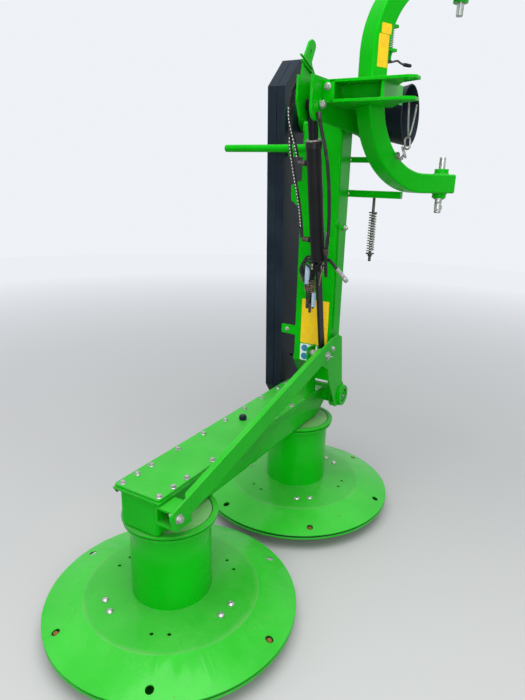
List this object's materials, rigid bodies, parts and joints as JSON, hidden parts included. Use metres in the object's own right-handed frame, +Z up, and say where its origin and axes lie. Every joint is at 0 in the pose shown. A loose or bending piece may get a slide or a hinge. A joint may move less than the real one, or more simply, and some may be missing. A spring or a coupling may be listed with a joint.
{
  "type": "two-drum rotary mower",
  "caption": "Tractor-mounted drum mower with a low cutterbar, side stay, upright folding arm with belt guard, lift cylinder and C-shaped hitch frame.",
  "frame": {"origin": "on the ground under the inner drum's axis, at the lowest point of its saucer", "axes": "+X outboard along the cutterbar from the inner drum to the outer one, +Y the direction of travel, +Z up"},
  "size_m": [1.788, 0.9566, 2.3065],
  "materials": {
    "green_paint": "gloss",
    "black_paint": "satin",
    "black_plastic": "matte",
    "dark_steel": "satin",
    "zinc": "satin",
    "hose_rubber": "satin"
  },
  "bodies": {
    "cutterbar": {"cutterbar_housing": "green_paint", "housing_cover": "green_paint", "hinge_tower": "green_paint", "stay_bar": "green_paint", "stay_bracket": "green_paint", "link_pin": "zinc"},
    "drum_unit_inner": {"drum_inner": "green_paint", "knives_inner": "dark_steel"},
    "drum_unit_outer": {"drum_outer": "green_paint", "knives_outer": "dark_steel"},
    "saucer_unit_inner": {"saucer_inner": "green_paint"},
    "saucer_unit_outer": {"saucer_outer": "green_paint"},
    "arm": {"carrying_arm": "green_paint", "belt_guard_outer": "black_paint", "belt_guard_inner": "black_paint", "curtain_tube": "green_paint", "transport_catch": "green_paint", "shaft_guard_bell": "black_plastic", "breakaway_bar": "green_paint", "breakaway_spring": "zinc"},
    "input": {"input_shaft": "dark_steel"},
    "head": {"hitch_frame": "green_paint", "hitch_pin_lower": "zinc", "hitch_pin_upper": "zinc", "mast": "green_paint", "lift_bracket": "green_paint", "valve_lever": "green_paint", "hitch_latch": "green_paint", "check_chain": "zinc"},
    "link": {"lift_link": "black_paint"},
    "cylinder": {"lift_cylinder": "black_paint", "hose_upper_port": "hose_rubber", "hose_lower_port": "hose_rubber", "hose_front": "hose_rubber", "hose_loose": "hose_rubber", "hose_coupler": "zinc", "hose_bundle": "hose_rubber"},
    "rod": {"lift_rod": "black_paint"}
  },
  "joints": [
    {"name": "drum_inner_spin", "type": "hinge", "parent": "cutterbar", "child": "drum_unit_inner", "pos_m": [0, 0, 0.3], "axis": [0, 0, 1], "continuous": true},
    {"name": "drum_outer_spin", "type": "hinge", "parent": "cutterbar", "child": "drum_unit_outer", "pos_m": [0.92, 0, 0.3], "axis": [0, 0, 1], "continuous": true},
    {"name": "saucer_inner_spin", "type": "hinge", "parent": "cutterbar", "child": "saucer_unit_inner", "pos_m": [0, 0, 0.1], "axis": [0, 0, 1], "continuous": true},
    {"name": "saucer_outer_spin", "type": "hinge", "parent": "cutterbar", "child": "saucer_unit_outer", "pos_m": [0.92, 0, 0.1], "axis": [0, 0, 1], "continuous": true},
    {"name": "arm_fold", "type": "hinge", "parent": "cutterbar", "child": "arm", "pos_m": [-0.125, 0.05, 0.524], "axis": [0, -1, 0], "range_deg": [0, 80]},
    {"name": "input_shaft_spin", "type": "hinge", "parent": "arm", "child": "input", "pos_m": [-0.125, 0.06, 1.728], "axis": [0, 1, 0], "continuous": true},
    {"name": "head_tilt", "type": "hinge", "parent": "arm", "child": "head", "pos_m": [-0.125, 0.18, 1.728], "axis": [0, 1, 0], "range_deg": [-4, 4]},
    {"name": "lift_link_swing", "type": "hinge", "parent": "cutterbar", "child": "link", "pos_m": [0.081, 0.14, 0.77], "axis": [0, -1, 0], "range_deg": [0, 92.17]},
    {"name": "cylinder_swing", "type": "hinge", "parent": "link", "child": "cylinder", "pos_m": [0.16323, 0.14, 1.15737], "axis": [0, -1, 0], "range_deg": [-8, 0]},
    {"name": "cylinder_stroke", "type": "slide", "parent": "cylinder", "child": "rod", "axis": [0.2077, 0, 0.9782], "range_m": [0, 0.39384]}
  ],
  "couplings": [
    {"joint": "drum_outer_spin", "follows": "drum_inner_spin", "ratio": -1},
    {"joint": "lift_link_swing", "follows": "arm_fold", "ratio": 1.1521},
    {"joint": "cylinder_swing", "follows": "arm_fold", "ratio": -0.1},
    {"joint": "cylinder_stroke", "follows": "arm_fold", "m_per_rad": 0.28207}
  ]
}
